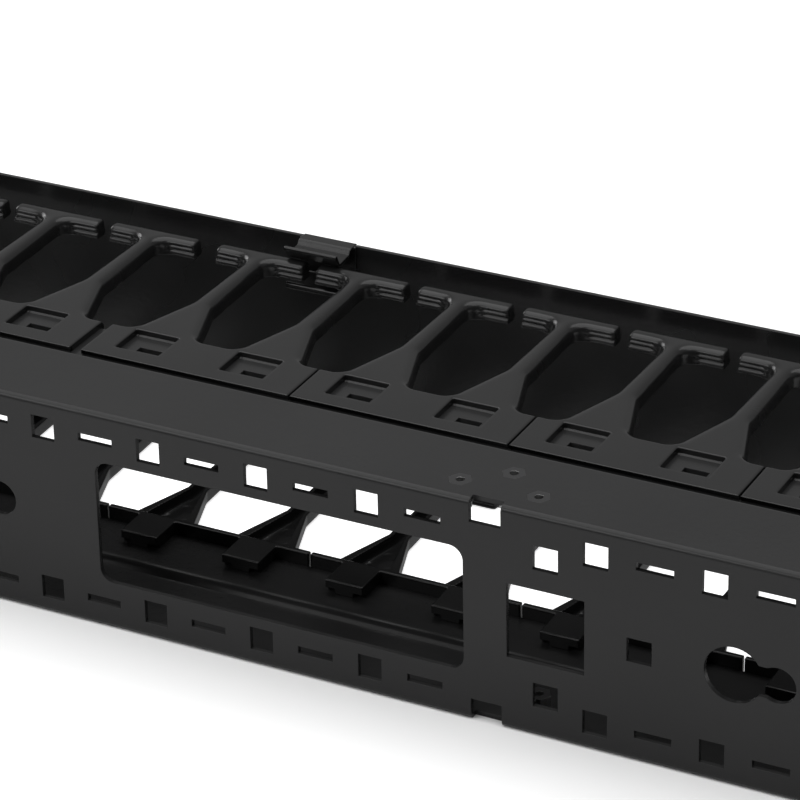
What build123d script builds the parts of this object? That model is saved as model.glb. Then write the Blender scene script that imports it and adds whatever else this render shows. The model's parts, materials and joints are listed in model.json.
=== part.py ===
from build123d import *
import os

os.makedirs("parts", exist_ok=True)

# Vertical cable manager lying on its side: X along the channel, web at -Y, cover at +Y.
# The origin is at the middle of the length and depth, on the surface that it lies on.

# Rack pitch and the channel
rack_unit = 44.45
channel_units = 16.5
channel_length = channel_units * rack_unit
channel_width = 90.0
sheet = 2.0
bend_radius = 2.5
flat_depth = 38.5
joggle_run = 2.6
lip_depth = 65.2

# Finger modules, two fingers each, clipped over the lips of the channel
fingers_per_module = 2
modules_per_side = 8
modules_per_clip = 3
seam = 0.8
middle_gap = 4.0
bottom_row_shift = -4.2
skin = 2.6
module_clearance = 1.1
edge_wall = 2.5
edge_wall_height = 10.0
hook_width = 16.0
hook_depth = 14.2
hook_top = 2.2
hook_wall = 1.8
hook_notch = 4.0
hook_notch_height = 1.8
window_width = 18.6
window_depth = 16.2
window_wall = 1.5
window_shift = 2.0
catch_length = 9.6
catch_width = 3.2
catch_inset = 9.2

# Fingers
finger_depth = 7.0
finger_wall = 1.8
finger_skin = 2.0
foot_half = 14.0
flare_end = 96.5
stem_half_low = 4.4
stem_half_high = 3.5
base_fillet = 5.0
crotch_fillet = 5.0
edge_chamfer = 1.8
head_length = 39.0
head_thickness = 7.0
head_back = 147.0
head_round = 3.0
head_chamfer = 1.0
crotch_landing = 1.0
groove_width = 1.0
groove_depth = 0.7
groove_height = 4.3

# Holes in the web
row_spacing = 67.6
square_hole = 9.5
slot_length = 14.2
slot_height = 3.1
keyhole_start = 45.8
keyhole_pitch_units = 7
keyhole_large = 22.0
keyhole_small = 14.0
keyhole_step = 16.1
keyhole_throat = 12.0
cable_window_length = 149.8
cable_window_height = 50.2
cable_window_radius = 5.5
cable_window_offset = 42.3
tie_notch_width = 12.2
tie_notch_rise = 9.0
tie_notch_depth = 4.0
tie_notch_gap = 8.7
centre_window = 30.0
cluster_gap = 31.9
cluster_square = 9.7
cluster_spacing = 55.6
small_square_gap = 67.7

# Threaded standoffs in the flanges
standoff_size = 7.9
standoff_bore = 3.3
standoff_height = 8.0
standoff_pitch = 30.4
standoff_near = 12.0
standoff_far = 24.0

# Cover and its clips
cover_gap = 11.0
cover_sheet = 1.5
cover_inset = 0.3
cover_corner = 2.0
notch_depth = 4.0
notch_clearance = 0.4
clip_width = 23.0
clip_wall = 1.3
clip_clearance = 0.35
lip_run = 3.0
lip_rise = 5.2
plate_run = 8.2
plate_rise = 0.8
step_run = 1.4
step_rise = 1.9
tab_run = 5.0
tab_proud = 0.5
tab_lift = 0.4
jaw_gap = 3.2
jaw_reach = 3.1
jaw_lip = 0.8
latch_clearance = 0.45
latch_reach = 2.5
latch_leg = 5.5
rivet_diameter = 3.2
rivet_head = 5.6
rivet_head_height = 0.5
rivet_head_taper = 30
hinge_rivet_drop = 2.0
latch_rivet_rise = 3.2

# Places worked out from the sizes above
cover_inner = head_back + cover_gap
overall_depth = cover_inner + cover_sheet + tab_proud
back = -overall_depth / 2
half_length = channel_length / 2
half_width = channel_width / 2
module_pitch = fingers_per_module * rack_unit
module_length = module_pitch - seam
module_front = flat_depth + joggle_run + module_clearance
module_back = lip_depth + edge_wall
hook_front = lip_depth - hook_depth
lip_inner = skin + sheet
head_front = head_back - head_thickness
bar_y = head_back - head_thickness / 2
bar_z = head_thickness / 2
foot_reach = foot_half + base_fillet
crotch_reach = stem_half_high + crotch_fillet + crotch_landing

# Clip sections, measured from the middle of the bar that they grip: out to the cover, and up
cover_reach = bar_z + cover_gap
leg_inner = cover_reach - clip_wall
tab_end = cover_reach + cover_sheet + tab_proud
tab_inner = tab_end - tab_run
ridge_y = tab_inner - step_run
valley_y = ridge_y - plate_run
valley_z = bar_z + clip_clearance
ridge_z = valley_z + plate_rise
tab_bottom = ridge_z + step_rise
tab_top = tab_bottom + clip_wall
jaw_front = bar_z - jaw_reach
jaw_bottom = -bar_z - jaw_gap - clip_wall
latch_top = -bar_z - latch_clearance
latch_bottom = latch_top - clip_wall
latch_leg_end = latch_bottom - latch_leg
latch_tab_top = bar_z - cover_inset
latch_tab_bottom = latch_tab_top - clip_wall
cover_top = channel_width - bar_z + tab_top - tab_lift
web_plane = Plane(origin=(0, back, half_width), x_dir=(1, 0, 0), z_dir=(0, -1, 0))
cover_plane = web_plane.offset(-cover_inner)

# X places of the modules and fingers in the two rows
half_row = modules_per_side // 2
first_finger = -rack_unit * (fingers_per_module - 1) / 2
finger_offsets = [first_finger + rack_unit * index for index in range(fingers_per_module)]
bottom_module_xs = [
    bottom_row_shift + module_pitch * (index + 0.5 - half_row) for index in range(modules_per_side)
]
top_module_xs = [
    module_pitch * (index + 0.5 - half_row) + (middle_gap if index >= half_row else -middle_gap) / 2
    for index in range(modules_per_side)
]
bottom_finger_xs = [x + offset for x in bottom_module_xs for offset in finger_offsets]
top_finger_xs = [x + offset for x in top_module_xs for offset in finger_offsets]
clip_modules = range(1, modules_per_side, modules_per_clip)
hinge_clip_xs = [top_module_xs[index] for index in clip_modules]
latch_clip_xs = [bottom_module_xs[index] for index in clip_modules]
rivet_places = [(x, half_width - bar_z - hinge_rivet_drop) for x in hinge_clip_xs]
rivet_places += [(x, bar_z - latch_leg_end - latch_rivet_rise - half_width) for x in latch_clip_xs]

# X places of the holes in the web, measured from the small ends of the keyholes
keyhole_pitch = keyhole_pitch_units * rack_unit
keyhole_count = int((channel_length - keyhole_start - keyhole_small) // keyhole_pitch) + 1
keyhole_xs = [-half_length + keyhole_start + index * keyhole_pitch for index in range(keyhole_count)]
bay_xs = keyhole_xs[:-1]
cable_window_xs = [x + cable_window_offset + cable_window_length / 2 for x in bay_xs]
cable_window_ends = [x + cable_window_length / 2 for x in cable_window_xs]
tie_notch_xs = [x + tie_notch_gap for x in cable_window_ends]
cluster_xs = [x + cluster_gap for x in cable_window_ends]
small_square_xs = [x + small_square_gap for x in cable_window_ends]
hole_count = int(channel_units)


def clear_of(places, blocked, reach):
    """Keep the places that lie further than reach from every blocked one."""
    return [x for x in places if all(abs(x - other) > reach for other in blocked)]


all_square_xs = [-half_length + rack_unit * (index + 0.5) for index in range(hole_count)]
all_slot_xs = [x + rack_unit / 2 for x in all_square_xs]
square_xs = clear_of(all_square_xs, tie_notch_xs, (tie_notch_width + square_hole) / 2)
slot_xs = clear_of(all_slot_xs, cluster_xs, (slot_length + cluster_square) / 2)
standoff_places = [
    (x + step * standoff_pitch / 2, back + (standoff_near if step else standoff_far))
    for x in tie_notch_xs
    for step in (-1, 0, 1)
]

# Channel: one bent sheet with joggled lips that the modules sit on
with BuildPart() as channel:
    with BuildSketch(Plane.YZ) as section:
        with BuildLine() as outline:
            FilletPolyline(
                (back + lip_depth, skin),
                (back + flat_depth + joggle_run, skin),
                (back + flat_depth, 0),
                (back, 0),
                (back, channel_width),
                (back + flat_depth, channel_width),
                (back + flat_depth + joggle_run, channel_width - skin),
                (back + lip_depth, channel_width - skin),
                radius=bend_radius,
            )
            offset(amount=sheet, side=Side.RIGHT)
        make_face()
    extrude(amount=half_length, both=True)

    # Rack holes, cable windows and fixings, punched through the web
    with BuildSketch(web_plane) as web_holes:
        for row in (-row_spacing / 2, row_spacing / 2):
            with Locations(*[(x, row) for x in square_xs]):
                Rectangle(square_hole, square_hole)
            with Locations(*[(x, row) for x in slot_xs]):
                Rectangle(slot_length, slot_height)
        for side in (-cluster_spacing / 2, cluster_spacing / 2):
            with Locations(*[(x, side) for x in cluster_xs]):
                Rectangle(cluster_square, cluster_square)
        with Locations(*[(x, 0) for x in cluster_xs]):
            Rectangle(centre_window, centre_window)
        with Locations(*[(x, 0) for x in small_square_xs]):
            Rectangle(square_hole, square_hole)
        with Locations(*[(x, 0) for x in cable_window_xs]):
            RectangleRounded(cable_window_length, cable_window_height, cable_window_radius)
    extrude(amount=-sheet, mode=Mode.SUBTRACT)

    # Keyholes: a round to pass the screw head, and a smaller one that the screw slides into
    with BuildSketch(web_plane) as keyholes:
        with Locations(*[(x, 0) for x in keyhole_xs]):
            Circle(keyhole_small / 2)
        with Locations(*[(x - keyhole_step, 0) for x in keyhole_xs]):
            Circle(keyhole_large / 2)
        with Locations(*[(x - keyhole_step / 2, 0) for x in keyhole_xs]):
            Rectangle(keyhole_step, keyhole_throat)
    extrude(amount=-sheet, mode=Mode.SUBTRACT)

    # Tie notches across both bends
    with BuildSketch(web_plane) as tie_notches:
        for side in (-1, 1):
            with Locations(*[(x, side * (half_width - tie_notch_rise / 2)) for x in tie_notch_xs]):
                Rectangle(tie_notch_width, tie_notch_rise)
    extrude(amount=-tie_notch_depth, mode=Mode.SUBTRACT)

    # Holes for the standoffs and slots for the module catches, through both flanges
    with BuildSketch(Plane.XY) as standoff_holes:
        with Locations(*standoff_places):
            RegularPolygon(standoff_size / 2, 6, major_radius=False)
    extrude(amount=channel_width, mode=Mode.SUBTRACT)
    with BuildSketch(Plane.XY) as lower_slots:
        with Locations(*[(x, back + lip_depth - catch_inset) for x in bottom_finger_xs]):
            Rectangle(catch_length, catch_width)
    extrude(amount=half_width, mode=Mode.SUBTRACT)
    with BuildSketch(Plane.XY.offset(half_width)) as upper_slots:
        with Locations(*[(x, back + lip_depth - catch_inset) for x in top_finger_xs]):
            Rectangle(catch_length, catch_width)
    extrude(amount=half_width, mode=Mode.SUBTRACT)

channel.part.label = "back_channel"
export_step(channel.part, "parts/back_channel.step")

# Threaded standoffs: hexagons clinched flush into the flanges
with BuildPart() as standoff:
    with BuildSketch(Plane.XY):
        RegularPolygon(standoff_size / 2, 6, major_radius=False)
        Circle(standoff_bore / 2, mode=Mode.SUBTRACT)
    extrude(amount=sheet + standoff_height)

lower_standoffs = Compound([standoff.part.moved(Location((x, y, 0))) for x, y in standoff_places])
upper_standoffs = Compound(
    [standoff.part.moved(Location((x, y, channel_width), (180, 0, 0))) for x, y in standoff_places]
)
for name, group in (("lower_standoffs", lower_standoffs), ("upper_standoffs", upper_standoffs)):
    group.label = name
    export_step(group, f"parts/{name}.step")

# Right side of a finger, from its foot to the bar of its head, with the radius of each corner
finger_planes = [Plane(origin=(x, 0, 0)) for x in finger_offsets]
finger_side = [
    (foot_reach, lip_depth),
    (foot_reach, module_back),
    (foot_half, module_back),
    (stem_half_low, flare_end),
    (stem_half_high, head_front),
    (crotch_reach, head_front),
    (crotch_reach, bar_y),
]
side_radii = [0, 0, base_fillet, 0, crotch_fillet, 0, 0]

# Finger module, outer face down: a skin and an edge wall that hold the lip of the channel
with BuildPart() as module:
    with BuildSketch(Plane.YZ) as edge_section:
        with BuildLine():
            Polyline(
                (module_front, 0),
                (module_back, 0),
                (module_back, edge_wall_height),
                (lip_depth, edge_wall_height),
                (lip_depth, skin),
                (module_front, skin),
                close=True,
            )
        make_face()
    extrude(amount=module_length / 2, both=True)

    # Fingers: a flared foot, a stem and a T-shaped head that keeps the cables in
    with BuildSketch(*finger_planes) as finger_outline:
        with BuildLine():
            left_side = [(-across, deep) for across, deep in reversed(finger_side)]
            FilletPolyline(*finger_side, *left_side, close=True, radius=side_radii + side_radii[::-1])
        make_face()
    extrude(amount=finger_depth)
    outer_edges = module.faces().sort_by(Axis.Z)[0].edges()
    chamfer(outer_edges.filter_by_position(Axis.Y, module_back, head_front), length=edge_chamfer)
    with BuildSketch(*[Plane.YZ.offset(x) for x in finger_offsets]) as head_section:
        with Locations((bar_y, bar_z)):
            Rectangle(head_thickness, head_thickness)
        outer_corner, *other_corners = head_section.vertices().sort_by_distance((head_front, 0))
        chamfer(other_corners, length=head_chamfer)
        fillet(head_section.vertices().sort_by_distance((head_front, 0))[0], radius=head_round)
        with Locations((head_front + groove_depth / 2, groove_height)):
            Rectangle(groove_depth, groove_width, mode=Mode.SUBTRACT)
    extrude(amount=head_length / 2, both=True)

    # Hollow of the foot and stem, open to the inside of the channel
    with BuildSketch(Plane.XY.offset(finger_depth)) as finger_hollow:
        for x in finger_offsets:
            with BuildLine():
                Polyline(
                    (x + foot_half - finger_wall - base_fillet / 2, module_back),
                    (x + stem_half_low - finger_wall, flare_end),
                    (x + stem_half_high - finger_wall, head_front),
                    (x - stem_half_high + finger_wall, head_front),
                    (x - stem_half_low + finger_wall, flare_end),
                    (x - foot_half + finger_wall + base_fillet / 2, module_back),
                    close=True,
                )
            make_face()
    extrude(amount=finger_skin - finger_depth, mode=Mode.SUBTRACT)

    # Catch hooks inside the lip, hollow below, with the notched front corners
    with BuildSketch(Plane.XY.offset(lip_inner)) as hooks:
        with Locations(*[(x, (hook_front + lip_depth) / 2) for x in finger_offsets]):
            Rectangle(hook_width, lip_depth - hook_front)
    extrude(amount=edge_wall_height - lip_inner)
    with BuildSketch(Plane.XY.offset(lip_inner)) as hook_hollows:
        with Locations(*[(x, (hook_front + hook_wall + lip_depth) / 2) for x in finger_offsets]):
            Rectangle(hook_width - 2 * hook_wall, lip_depth - hook_front - hook_wall)
    extrude(amount=edge_wall_height - hook_top - lip_inner, mode=Mode.SUBTRACT)
    with BuildSketch(Plane.XY.offset(lip_inner)) as hook_notches:
        for side in (-1, 1):
            corner = side * (hook_width - hook_notch) / 2
            with Locations(*[(x + corner, hook_front + hook_wall / 2) for x in finger_offsets]):
                Rectangle(hook_notch, hook_wall)
    extrude(amount=hook_notch_height, mode=Mode.SUBTRACT)

    # Windows in the skin over the hooks
    with BuildSketch(Plane.XY) as skin_windows:
        window_y = module_back - window_wall - window_depth / 2
        with Locations(*[(x + window_shift, window_y) for x in finger_offsets]):
            Rectangle(window_width, window_depth)
    extrude(amount=skin, mode=Mode.SUBTRACT)

for number, x in enumerate(bottom_module_xs, 1):
    lower = module.part.moved(Location((x, back, 0)))
    lower.label = f"bottom_fingers_{number}"
    export_step(lower, f"parts/{lower.label}.step")
for number, x in enumerate(top_module_xs, 1):
    upper = module.part.moved(Location((x, back, channel_width), (0, 180, 0)))
    upper.label = f"top_fingers_{number}"
    export_step(upper, f"parts/{upper.label}.step")

# Cover: a flat sheet with a notch in its edges for each clip
with BuildPart() as cover:
    with BuildSketch(cover_plane) as cover_outline:
        with Locations((0, (cover_top + cover_inset) / 2 - half_width)):
            RectangleRounded(channel_length, cover_top - cover_inset, cover_corner)
        with Locations(*[(x, cover_top - half_width - notch_depth / 2) for x in hinge_clip_xs]):
            Rectangle(clip_width + 2 * notch_clearance, notch_depth, mode=Mode.SUBTRACT)
        with Locations(*[(x, cover_inset + notch_depth / 2 - half_width) for x in latch_clip_xs]):
            Rectangle(clip_width + 2 * notch_clearance, notch_depth, mode=Mode.SUBTRACT)
        with Locations(*rivet_places):
            Circle(rivet_diameter / 2, mode=Mode.SUBTRACT)
    extrude(amount=-cover_sheet)

cover.part.label = "cover_panel"
export_step(cover.part, "parts/cover_panel.step")



def bent_strip(line, wall):
    """Give the outline of a strip of even wall that lies to the right of a bent line."""
    points = [Vector(*point) for point in line]
    headings = [(end - start).normalized() for start, end in zip(points, points[1:])]
    normals = [Vector(heading.Y, -heading.X) for heading in headings]
    shifts = [(one + other) / (1 + one.dot(other)) for one, other in zip(normals, normals[1:])]
    shifts = [normals[0], *shifts, normals[-1]]
    return points + [point + shift * wall for point, shift in zip(points, shifts)][::-1]


# Hinge clip, drawn about its bar: a tab, a step and a springy lip above, a leg and a jaw below
spring_line = [
    (tab_end, tab_bottom),
    (tab_inner, tab_bottom),
    (ridge_y, ridge_z),
    (valley_y, valley_z),
    (valley_y - lip_run, valley_z + lip_rise),
]
jaw_line = [
    (cover_reach, tab_bottom),
    (cover_reach, jaw_bottom),
    (jaw_front + clip_wall, jaw_bottom),
    (jaw_front + clip_wall, jaw_bottom - jaw_lip),
]
with BuildPart() as hinge_clip:
    with BuildSketch(Plane.YZ) as hinge_section:
        with BuildLine():
            Polyline(*bent_strip(spring_line, clip_wall), close=True)
        make_face()
        with BuildLine():
            Polyline(*bent_strip(jaw_line, clip_wall), close=True)
        make_face()
    extrude(amount=clip_width / 2, both=True)
    with BuildSketch(Plane.XZ.offset(-cover_reach)) as hinge_rivet_holes:
        with Locations((0, -hinge_rivet_drop)):
            Circle(rivet_diameter / 2)
    extrude(amount=clip_wall, mode=Mode.SUBTRACT)

# Latch clip, drawn the same way up: a jaw that closes over the inner side of its bar
with BuildPart() as latch_clip:
    with BuildSketch(Plane.YZ) as latch_section:
        with BuildLine():
            Polyline(
                (leg_inner, latch_tab_top),
                (tab_end, latch_tab_top),
                (tab_end, latch_tab_bottom),
                (cover_reach, latch_tab_bottom),
                (cover_reach, latch_leg_end),
                (leg_inner, latch_leg_end),
                (leg_inner, latch_bottom),
                (-latch_reach, latch_bottom),
                (-latch_reach, latch_top),
                (leg_inner, latch_top),
                close=True,
            )
        make_face()
    extrude(amount=clip_width / 2, both=True)
    with BuildSketch(Plane.XZ.offset(-cover_reach)) as latch_rivet_holes:
        with Locations((0, latch_leg_end + latch_rivet_rise)):
            Circle(rivet_diameter / 2)
    extrude(amount=clip_wall, mode=Mode.SUBTRACT)

for number, x in enumerate(hinge_clip_xs, 1):
    hinge = hinge_clip.part.moved(Location((x, back + bar_y, channel_width - bar_z)))
    hinge.label = f"hinge_clip_{number}"
    export_step(hinge, f"parts/{hinge.label}.step")
for number, x in enumerate(latch_clip_xs, 1):
    latch = mirror(latch_clip.part, about=Plane.XY).moved(Location((x, back + bar_y, bar_z)))
    latch.label = f"latch_clip_{number}"
    export_step(latch, f"parts/{latch.label}.step")

# Rivets through the cover and the clips, with low heads outside
with BuildPart() as rivet:
    with BuildSketch(Plane.XZ.offset(clip_wall)) as rivet_shank:
        Circle(rivet_diameter / 2)
    extrude(amount=-clip_wall - cover_sheet)
    with BuildSketch(Plane.XZ.offset(-cover_sheet)) as rivet_cap:
        Circle(rivet_head / 2)
    extrude(amount=-rivet_head_height, taper=rivet_head_taper)

rivets = Compound(
    [rivet.part.moved(Location((x, back + cover_inner, half_width + up))) for x, up in rivet_places]
)
rivets.label = "clip_rivets"
export_step(rivets, "parts/clip_rivets.step")
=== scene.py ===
import json

import bmesh
import bpy
import numpy as np
from mathutils import Matrix, Vector


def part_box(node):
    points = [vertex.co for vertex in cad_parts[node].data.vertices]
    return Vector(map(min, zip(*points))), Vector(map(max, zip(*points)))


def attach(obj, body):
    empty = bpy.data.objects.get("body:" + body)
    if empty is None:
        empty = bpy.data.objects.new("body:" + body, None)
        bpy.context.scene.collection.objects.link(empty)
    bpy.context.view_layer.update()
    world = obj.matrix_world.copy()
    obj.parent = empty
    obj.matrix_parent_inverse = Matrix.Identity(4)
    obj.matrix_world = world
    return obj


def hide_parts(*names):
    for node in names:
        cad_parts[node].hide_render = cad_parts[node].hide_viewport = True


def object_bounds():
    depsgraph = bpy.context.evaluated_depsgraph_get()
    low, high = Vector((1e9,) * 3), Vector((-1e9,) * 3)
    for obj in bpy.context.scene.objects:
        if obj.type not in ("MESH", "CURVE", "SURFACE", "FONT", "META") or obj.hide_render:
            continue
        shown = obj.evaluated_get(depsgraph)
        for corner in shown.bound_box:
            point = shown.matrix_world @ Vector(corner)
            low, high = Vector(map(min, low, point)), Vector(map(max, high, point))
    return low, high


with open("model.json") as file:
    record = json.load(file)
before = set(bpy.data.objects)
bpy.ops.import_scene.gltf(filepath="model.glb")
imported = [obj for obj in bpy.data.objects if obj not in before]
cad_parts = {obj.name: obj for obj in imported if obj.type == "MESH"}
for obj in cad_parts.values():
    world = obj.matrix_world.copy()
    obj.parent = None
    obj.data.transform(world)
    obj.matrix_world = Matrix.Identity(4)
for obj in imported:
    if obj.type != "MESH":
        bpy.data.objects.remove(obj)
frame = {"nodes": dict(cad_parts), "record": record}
cad_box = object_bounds()
scene = bpy.context.scene
nodes = frame["nodes"]

# Camera: its place, axes and focal length were solved on the rack holes and fingers
camera_place = (0.72288, -1.16041, 0.75792)
camera_right = Vector((0.89062, 0.45439, -0.01786))
camera_down = Vector((0.19586, -0.41876, -0.88672))
camera_view = Vector((-0.41040, 0.78624, -0.46196))
camera_data = bpy.data.cameras.new("camera")
camera_data.sensor_width = 36
camera_data.lens = 178.9
camera_data.clip_start, camera_data.clip_end = 0.05, 20
camera_data.dof.use_dof = False
camera = bpy.data.objects.new("camera", camera_data)
turn = Matrix((camera_right, -camera_down, -camera_view)).transposed().to_4x4()
camera.matrix_world = Matrix.Translation(camera_place) @ turn
scene.collection.objects.link(camera)
scene.camera = camera


# Materials: greys are linear, edges and bump depths in metres, noise scales per metre
noise_low, noise_high = 0.3, 0.7
bevel_samples = 4
coat_edge, moulded_edge = 0.0004, 0.0003
plastic_specular, standoff_specular = 0.26, 0.2
bare_grey = (0.55, 0.55, 0.55)
wall_facing, face_facing = 0.2, 0.8


def shader(name, rough, specular):
    """A new material: itself, its tree, its shader and its coordinates."""
    material = bpy.data.materials.new(name)
    material.use_nodes = True
    tree = material.node_tree
    main = tree.nodes["Principled BSDF"]
    main.inputs["Roughness"].default_value = rough
    main.inputs["Specular IOR Level"].default_value = specular
    coords = tree.nodes.new("ShaderNodeTexCoord")
    return material, tree, main, coords


def noise(tree, coords, scale, detail=2.0, rough=0.5):
    """Noise over the piece."""
    texture = tree.nodes.new("ShaderNodeTexNoise")
    texture.inputs["Scale"].default_value = scale
    texture.inputs["Detail"].default_value = detail
    texture.inputs["Roughness"].default_value = rough
    tree.links.new(coords.outputs["Object"], texture.inputs["Vector"])
    return texture.outputs["Fac"]


def spread(tree, value, low, high, start=noise_low, end=noise_high):
    """The value from start to end, mapped to low and high."""
    mapped = tree.nodes.new("ShaderNodeMapRange")
    for key, number in (("From Min", start), ("From Max", end), ("To Min", low), ("To Max", high)):
        mapped.inputs[key].default_value = number
    tree.links.new(value, mapped.inputs["Value"])
    return mapped.outputs["Result"]


def tint(tree, value, low, high):
    """A colour between low and high."""
    ramp = tree.nodes.new("ShaderNodeValToRGB")
    for stop, place, colour in zip(ramp.color_ramp.elements, (noise_low, noise_high), (low, high)):
        stop.position = place
        stop.color = (*colour, 1)
    tree.links.new(value, ramp.inputs["Fac"])
    return ramp.outputs["Color"]


def toned(tree, value, grey, share):
    """The grey, from a share darker to a share lighter."""
    return tint(tree, value, [c * (1 - share) for c in grey], [c * (1 + share) for c in grey])


def bumps(tree, main, layers, edge):
    """Stacked bumps, on edges that are rounded by edge metres."""
    rounded = tree.nodes.new("ShaderNodeBevel")
    rounded.samples = bevel_samples
    rounded.inputs["Radius"].default_value = edge
    normal = rounded.outputs["Normal"]
    for height, distance in layers:
        bump = tree.nodes.new("ShaderNodeBump")
        bump.inputs["Distance"].default_value = distance
        tree.links.new(height, bump.inputs["Height"])
        tree.links.new(normal, bump.inputs["Normal"])
        normal = bump.outputs["Normal"]
    tree.links.new(normal, main.inputs["Normal"])


def coated_steel(name, grey, rough, specular):
    """Powder coat: a fine orange peel with a little change in tone and gloss."""
    tone_change, rough_change = 0.06, 0.03
    peel_depth, fine_depth, grain_depth = 0.00005, 0.00001, 0.000005
    material, tree, main, coords = shader(name, rough, specular)
    broad = noise(tree, coords, scale=14, detail=3)
    peel = noise(tree, coords, scale=320)
    fine = noise(tree, coords, scale=900)
    grain = noise(tree, coords, scale=3200, detail=1)
    tree.links.new(toned(tree, broad, grey, tone_change), main.inputs["Base Color"])
    tree.links.new(spread(tree, broad, rough - rough_change, rough + rough_change), main.inputs["Roughness"])
    bumps(tree, main, ((peel, peel_depth), (fine, fine_depth), (grain, grain_depth)), coat_edge)
    return material


def moulded_plastic(name, grey, rough):
    """Plastic from an etched mould: a fine grain, with faint flow marks."""
    tone_change, rough_change, grain_depth = 0.07, 0.04, 0.000012
    material, tree, main, coords = shader(name, rough, plastic_specular)
    flow = noise(tree, coords, scale=30, rough=0.4)
    grain = noise(tree, coords, scale=2200)
    tree.links.new(toned(tree, flow, grey, tone_change), main.inputs["Base Color"])
    tree.links.new(spread(tree, flow, rough - rough_change, rough + rough_change), main.inputs["Roughness"])
    bumps(tree, main, ((grain, grain_depth),), moulded_edge)
    return material


def clinched_steel(name, grey, rough):
    """Steel that is coated on the faces across its axis and bare along it, as in the bore."""
    grain_depth = 0.00002
    material, tree, main, coords = shader(name, rough, standoff_specular)
    grain = noise(tree, coords, scale=1500, detail=3)
    facing = tree.nodes.new("ShaderNodeSeparateXYZ")
    tree.links.new(coords.outputs["Normal"], facing.inputs["Vector"])
    upright = tree.nodes.new("ShaderNodeMath")
    upright.operation = "ABSOLUTE"
    tree.links.new(facing.outputs["Z"], upright.inputs[0])
    share = upright.outputs["Value"]
    tree.links.new(spread(tree, share, 1, 0, wall_facing, face_facing), main.inputs["Metallic"])
    tree.links.new(tint(tree, share, bare_grey, grey), main.inputs["Base Color"])
    bumps(tree, main, ((grain, grain_depth),), moulded_edge)
    return material


# Looks: the name, the grey, the roughness and, for the two coats, the specular level
looks = {
    "channel_steel": coated_steel("channel_steel", (0.0165, 0.0165, 0.0167), 0.24, 0.16),
    "cover_steel": coated_steel("cover_steel", (0.0085, 0.0085, 0.0086), 0.27, 0.34),
    "finger_plastic": moulded_plastic("finger_plastic", (0.0090, 0.0090, 0.0091), 0.24),
    "clip_plastic": moulded_plastic("clip_plastic", (0.0070, 0.0070, 0.0071), 0.24),
    "rivet_plastic": moulded_plastic("rivet_plastic", (0.0080, 0.0080, 0.0082), 0.36),
    "standoff_steel": clinched_steel("standoff_steel", (0.0215, 0.0215, 0.0220), 0.28),
}
for part in frame["record"]["subparts"]:
    mesh = nodes[part["node"]].data
    mesh.materials.clear()
    mesh.materials.append(looks[part["material_slot"]])

to_mm = 1000
face_weight = 80

# Finger modules: sizes in mm from the web's outer face, the outer skin and the middle of a finger
rack_unit = 44.45
finger_xs = (-rack_unit / 2, rack_unit / 2)
voxel, kept_share = 0.4, 0.13

# Where the stems and bars are softened: past the foot and near the outer skin, the bars less
foot_end, stem_start, head_front, head_back = 68.0, 71.0, 140.0, 147.0
foot_run, bar_run = 1.0, 1.0
soft_skin, hard_inside = 4.0, 5.5
bar_softness = 0.75
stem_rounds, base_rounds, pull = 42, 2, 0.5

# The inner layer of the foot, which stays crisp: where it sets in and where it ends, from the skin
crisp_start, crisp_end = (1.2, 1.6), (3.0, 3.4)

# Grooves along the front of the bars, and where they fade in and out, measured from that front
groove_heights, groove_width, groove_depth = (2.4, 4.3), 0.45, 0.6
groove_start, groove_full = 7.0, 9.5
groove_rise, groove_fall = (-1.5, -1.0), (1.5, 2.5)

# Undercut of the foot's front edge, and the skin's inner face, which goes into the lip of the channel
front_end, undercut_top, undercut_bottom, undercut = 42.8, 0.35, 0.8, 1.8
inner_low, inner_high, lip_start, lip_depth, sunk = 2.2, 3.0, 45.0, 65.0, 1.2

# Ejector marks in the hollows
hollow_floor = 2.0
ejector_places, ejector_radius, ejector_depth = ((0, 88.5), (-4.8, 78.8), (4.8, 78.8)), 2.8, 0.12
rim_inside, rim_outside = 0.3, 0.1


def step(values, start, end):
    """Rise from 0 at start to 1 at end."""
    share = np.clip((values - start) / (end - start), 0, 1)
    return share * share * (3 - 2 * share)


def applied(piece, modifiers):
    """Give the piece the mesh that its modifiers make."""
    for kind, settings in modifiers:
        modifier = piece.modifiers.new(kind.lower(), kind)
        for key, value in settings.items():
            setattr(modifier, key, value)
    shown = piece.evaluated_get(bpy.context.evaluated_depsgraph_get())
    mesh = bpy.data.meshes.new_from_object(shown)
    piece.modifiers.clear()
    piece.data = mesh


def soften(places, edges, weights, rounds):
    """Draw each point towards its neighbours, as far as its weight says."""
    ends = np.concatenate((edges[:, 0], edges[:, 1]))
    others = np.concatenate((edges[:, 1], edges[:, 0]))
    count = np.bincount(ends, minlength=len(places))
    for _ in range(rounds):
        mean = [np.bincount(ends, places[others, axis], len(places)) / count for axis in range(3)]
        places += (np.stack(mean, axis=1) - places) * weights[:, None] * pull


def round_edges(places, edges):
    """Soften the stems and bars, then all but the inner layer of the foot a little."""
    deep, up = places[:, 1], places[:, 2]
    outside = 1 - step(up, soft_skin, hard_inside)
    bar = step(deep, head_front - bar_run, head_front)
    stem = step(deep, foot_end, stem_start) * outside * (1 - bar * (1 - bar_softness))
    soften(places, edges, stem, stem_rounds)
    foot = 1 - step(deep, foot_end - foot_run, foot_end)
    crisp = step(up, *crisp_start) * foot * (1 - step(up, *crisp_end))
    soften(places, edges, 1 - crisp, base_rounds)


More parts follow.
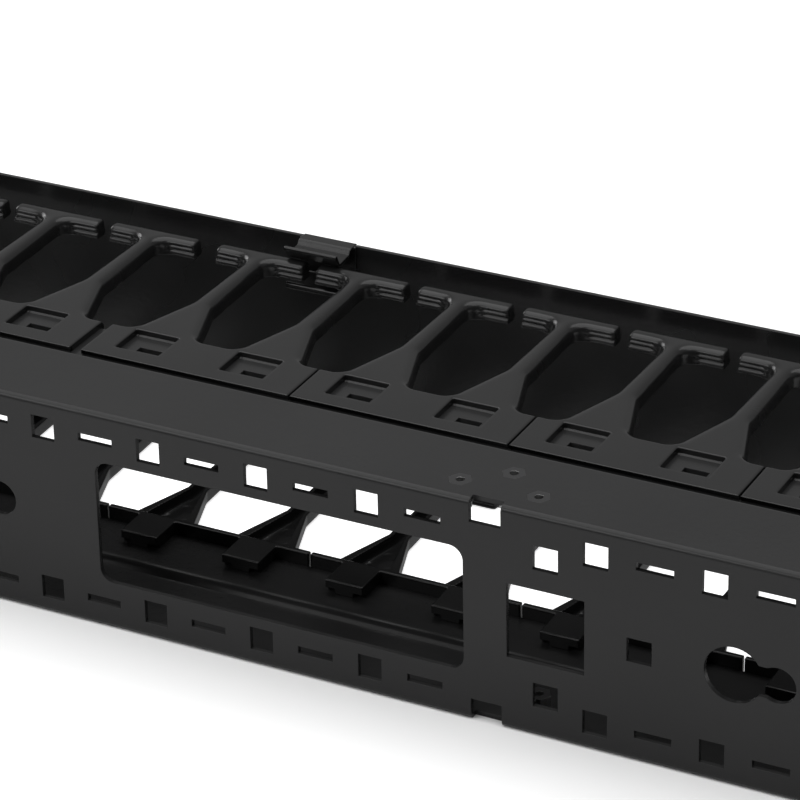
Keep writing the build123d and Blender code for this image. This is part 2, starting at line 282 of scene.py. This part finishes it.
def press_marks(places):
    """Press in the grooves, the undercut and the ejector marks, and sink the skin's inner face."""
    # deep and up are views, so they follow the points as these move
    deep, up = places[:, 1], places[:, 2]
    across = np.min([abs(places[:, 0] - x) for x in finger_xs], axis=0)
    behind = deep - head_front
    front = step(behind, *groove_rise) * (1 - step(behind, *groove_fall))
    along = step(across, groove_start, groove_full)
    for height in groove_heights:
        hollow = np.exp(-(((up - height) / groove_width) ** 2))
        places[:, 1] += groove_depth * hollow * front * along
    lip = (deep < front_end) * step(up, undercut_top, undercut_bottom)
    places[:, 1] += undercut * lip
    inner_face = (up > inner_low) * (up < inner_high) * (deep > lip_start) * (deep < lip_depth)
    places[:, 2] += sunk * inner_face
    for side, far in ejector_places:
        for x in finger_xs:
            away = np.hypot(places[:, 0] - x - side, deep - far)
            on_floor = abs(up - hollow_floor) < voxel
            inside = 1 - step(away, ejector_radius - rim_inside, ejector_radius + rim_outside)
            places[:, 2] -= ejector_depth * on_floor * inside


def moulding(node):
    """The node's mesh about the middle of its box, with the soft edges and marks of a moulding."""
    low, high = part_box(node)
    rough = nodes[node].data.copy()
    rough.transform(Matrix.Translation(-(low + high) / 2))
    piece = bpy.data.objects.new("moulding", rough)
    scene.collection.objects.link(piece)
    applied(piece, [("REMESH", {"mode": "VOXEL", "voxel_size": voxel / to_mm, "adaptivity": 0})])

    mesh = piece.data
    half_deep, half_up = (high.y - low.y) * to_mm / 2, (high.z - low.z) * to_mm / 2
    middle = np.array(Vector((0, head_back, 0)) - Vector((0, half_deep, -half_up)))
    flat = np.empty(len(mesh.vertices) * 3)
    mesh.vertices.foreach_get("co", flat)
    places = flat.reshape(-1, 3) * to_mm + middle
    pairs = np.empty(len(mesh.edges) * 2, dtype=np.int32)
    mesh.edges.foreach_get("vertices", pairs)
    round_edges(places, pairs.reshape(-1, 2))
    press_marks(places)

    mesh.vertices.foreach_set("co", ((places - middle) / to_mm).ravel())
    mesh.update()
    mesh.shade_smooth()
    applied(piece, [("DECIMATE", {"ratio": kept_share}), ("WEIGHTED_NORMAL", {"weight": face_weight})])
    mesh = piece.data
    bpy.data.objects.remove(piece)
    mesh.materials.clear()
    mesh.materials.append(looks["finger_plastic"])
    return mesh


# The top modules are the bottom one turned over
module_mesh = moulding("bottom_fingers_1")
for name in nodes:
    if "fingers" in name:
        low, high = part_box(name)
        turned = Matrix.Rotation(np.pi, 4, "Y") if name.startswith("top") else Matrix()
        piece = bpy.data.objects.new("moulded_" + name, module_mesh)
        piece.matrix_world = Matrix.Translation((low + high) / 2) @ turned
        scene.collection.objects.link(piece)
        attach(piece, "channel")
        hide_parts(name)

# Hinge clips: bent strips, drawn in mm from the middle of the bar that they grip, out and up
clip_wall, clip_bend, bend_steps = 1.3, 1.3, 6
spring_width, jaw_width = 23.0, 24.6
clip_edge, edge_segments, edge_profile = 0.25, 2, 0.5
bar_from_high, bar_from_low = 16.5, 8.8
spring_line = ((15.85, 7.2), (11.2, 7.2), (9.8, 5.3), (1.6, 4.5), (-0.75, 9.0))
jaw_line = ((13.85, 6.9), (13.85, -7.35), (1.05, -7.35), (1.05, -8.8))
bead_size, bead_drop, bead_out, bead_up = 1.7, 0.4, 0.05, 0.1
same_place = 1e-7


def rounded_line(corners):
    """The line through the corners, with an arc at each bend."""
    points = [Vector(corner) for corner in corners]
    line = [points[0]]
    for before, corner, after in zip(points, points[1:], points[2:]):
        back, on = (before - corner).normalized(), (after - corner).normalized()
        half = back.angle(on) / 2
        reach = min(clip_bend / np.tan(half), (before - corner).length / 2, (after - corner).length / 2)
        middle = corner + (back + on).normalized() * (reach / np.cos(half))
        start, end = corner + back * reach - middle, corner + on * reach - middle
        for index in range(bend_steps + 1):
            line.append(middle + start.slerp(end, index / bend_steps) * start.length)
    return line + [points[-1]]


def leftward(way):
    """The direction to the left of a way."""
    return Vector((-way.y, way.x))


def strip_outline(line, wall):
    """The outline of a strip of even wall about a line, with round ends."""
    headings = [(b - a).normalized() for a, b in zip(line, line[1:])]
    turns = [(a + b).normalized() for a, b in zip(headings, headings[1:])]
    ways = [headings[0]] + turns + [headings[-1]]
    left = [point + leftward(way) * wall / 2 for point, way in zip(line, ways)]
    right = [point - leftward(way) * wall / 2 for point, way in zip(line, ways)]

    def cap(point, way):
        angles = [np.pi * (0.5 - index / bend_steps) for index in range(1, bend_steps)]
        across = leftward(way)
        return [point + (way * np.cos(angle) + across * np.sin(angle)) * wall / 2 for angle in angles]

    return left + cap(line[-1], ways[-1]) + right[::-1] + cap(line[0], -ways[0])


def add_strip(form, line, width, origin, wall=clip_wall):
    """Add a bent strip of this width to the form, about the origin."""
    outline = strip_outline(rounded_line(line), wall)
    start = [form.verts.new(origin + Vector((-width / 2, y, z)) / to_mm) for y, z in outline]
    face = form.faces.new(start)
    made = bmesh.ops.extrude_face_region(form, geom=[face])
    moved = [item for item in made["geom"] if isinstance(item, bmesh.types.BMVert)]
    bmesh.ops.translate(form, verts=moved, vec=(width / to_mm, 0, 0))
    level = [edge for edge in form.edges if abs(edge.verts[0].co.x - edge.verts[1].co.x) < same_place]
    rims = [edge for edge in level if edge.verts[0] in start or edge.verts[0] in moved]
    offset = clip_edge / to_mm
    bmesh.ops.bevel(
        form, geom=rims, offset=offset, segments=edge_segments, affect="EDGES", profile=edge_profile
    )


def hinge_clip(node):
    """Replace the node by a clip with round bends and a beaded lip."""
    low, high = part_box(node)
    out, up = high.y - bar_from_high / to_mm, low.z + bar_from_low / to_mm
    origin = Vector(((low.x + high.x) / 2, out, up))
    form = bmesh.new()
    add_strip(form, spring_line, spring_width, origin)
    add_strip(form, jaw_line, jaw_width, origin)
    lip_out, lip_up = spring_line[-1]
    bead = ((lip_out, lip_up - bead_drop), (lip_out + bead_out, lip_up - bead_drop + bead_up))
    add_strip(form, bead, spring_width, origin, bead_size)
    bmesh.ops.recalc_face_normals(form, faces=form.faces)
    mesh = bpy.data.meshes.new("clip")
    form.to_mesh(mesh)
    form.free()
    mesh.shade_smooth()
    mesh.materials.append(looks["clip_plastic"])
    piece = bpy.data.objects.new("moulded_" + node, mesh)
    scene.collection.objects.link(piece)
    applied(piece, [("WEIGHTED_NORMAL", {"weight": face_weight})])
    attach(piece, "cover")
    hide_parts(node)


for name in list(nodes):
    if name.startswith("hinge_clip"):
        hinge_clip(name)

# Floor, and a glowing panel under the part, which only the camera sees: painted light that shows the floor
# white through the gaps, where the part's shade would fall
pale, white = (0.9, 0.9, 0.9, 1), (1, 1, 1, 1)
floor_reach = 8
panel_inset, panel_head_inset, panel_height, panel_glow = 0.004, 0.016, 0.0003, 0.8


def studio_sheet(name, low, high, height, finish):
    """A flat sheet of the studio with one plain finish."""
    material = bpy.data.materials.new(name)
    material.use_nodes = True
    for key, value in finish.items():
        material.node_tree.nodes["Principled BSDF"].inputs[key].default_value = value
    mesh = bpy.data.meshes.new(name)
    corners = ((low[0], low[1]), (high[0], low[1]), (high[0], high[1]), (low[0], high[1]))
    mesh.from_pydata([(x, y, height) for x, y in corners], [], [(0, 1, 2, 3)])
    mesh.materials.append(material)
    sheet = bpy.data.objects.new(name, mesh)
    scene.collection.objects.link(sheet)
    return sheet


floor_finish = {"Base Color": pale, "Roughness": 0.9, "Specular IOR Level": 0.1}
studio_sheet("floor", (-floor_reach, -floor_reach), (floor_reach, floor_reach), 0, floor_finish)

low, high = cad_box
panel_low = (low.x + panel_inset, low.y + panel_inset)
panel_high = (high.x - panel_inset, high.y - panel_head_inset)
# The panel's glow is painted light: it lights nothing and hides the shade under the part from the camera
panel_finish = {"Base Color": pale, "Emission Color": white, "Emission Strength": panel_glow}
painted_light_panel = studio_sheet("painted_light_panel", panel_low, panel_high, panel_height, panel_finish)
painted_light_panel.visible_diffuse = painted_light_panel.visible_glossy = painted_light_panel.visible_shadow = False

# Sky: bright overhead and behind the part, dark low in front
sky_lean = (0, 0.55, 1)
world = bpy.data.worlds.new("studio")
scene.world = world
world.use_nodes = True
tree = world.node_tree
sky = tree.nodes["Background"]
sky.inputs["Color"].default_value = white
sky_ways = tree.nodes.new("ShaderNodeTexCoord")
lean = tree.nodes.new("ShaderNodeVectorMath")
lean.operation = "DOT_PRODUCT"
lean.inputs[1].default_value = sky_lean
tree.links.new(sky_ways.outputs["Generated"], lean.inputs[0])
strength = spread(tree, lean.outputs["Value"], low=0.05, high=0.45, start=0.1, end=0.55)
tree.links.new(strength, sky.inputs["Strength"])


def softbox(name, place, aim, size, power):
    """A soft rectangular light, turned towards its aim."""
    lamp = bpy.data.lights.new(name, "AREA")
    lamp.shape = "RECTANGLE"
    lamp.size, lamp.size_y = size
    lamp.energy = power
    holder = bpy.data.objects.new(name, lamp)
    holder.location = place
    holder.rotation_euler = (Vector(aim) - Vector(place)).to_track_quat("-Z", "Y").to_euler()
    scene.collection.objects.link(holder)


# Lights: the place, the aim, the size in metres and the power in watts
softbox("top_light", (0, 0, 3), (0, 0, 0), (4, 4), 120)
softbox("front_light", (-0.9, -1.6, 1.35), (0, 0, 0), (1.4, 0.8), 15)
softbox("left_light", (-1.6, 0.5, 0.9), (0, 0, 0.08), (0.9, 0.9), 12)
scene.view_settings.view_transform = "Standard"
scene.view_settings.look = "None"
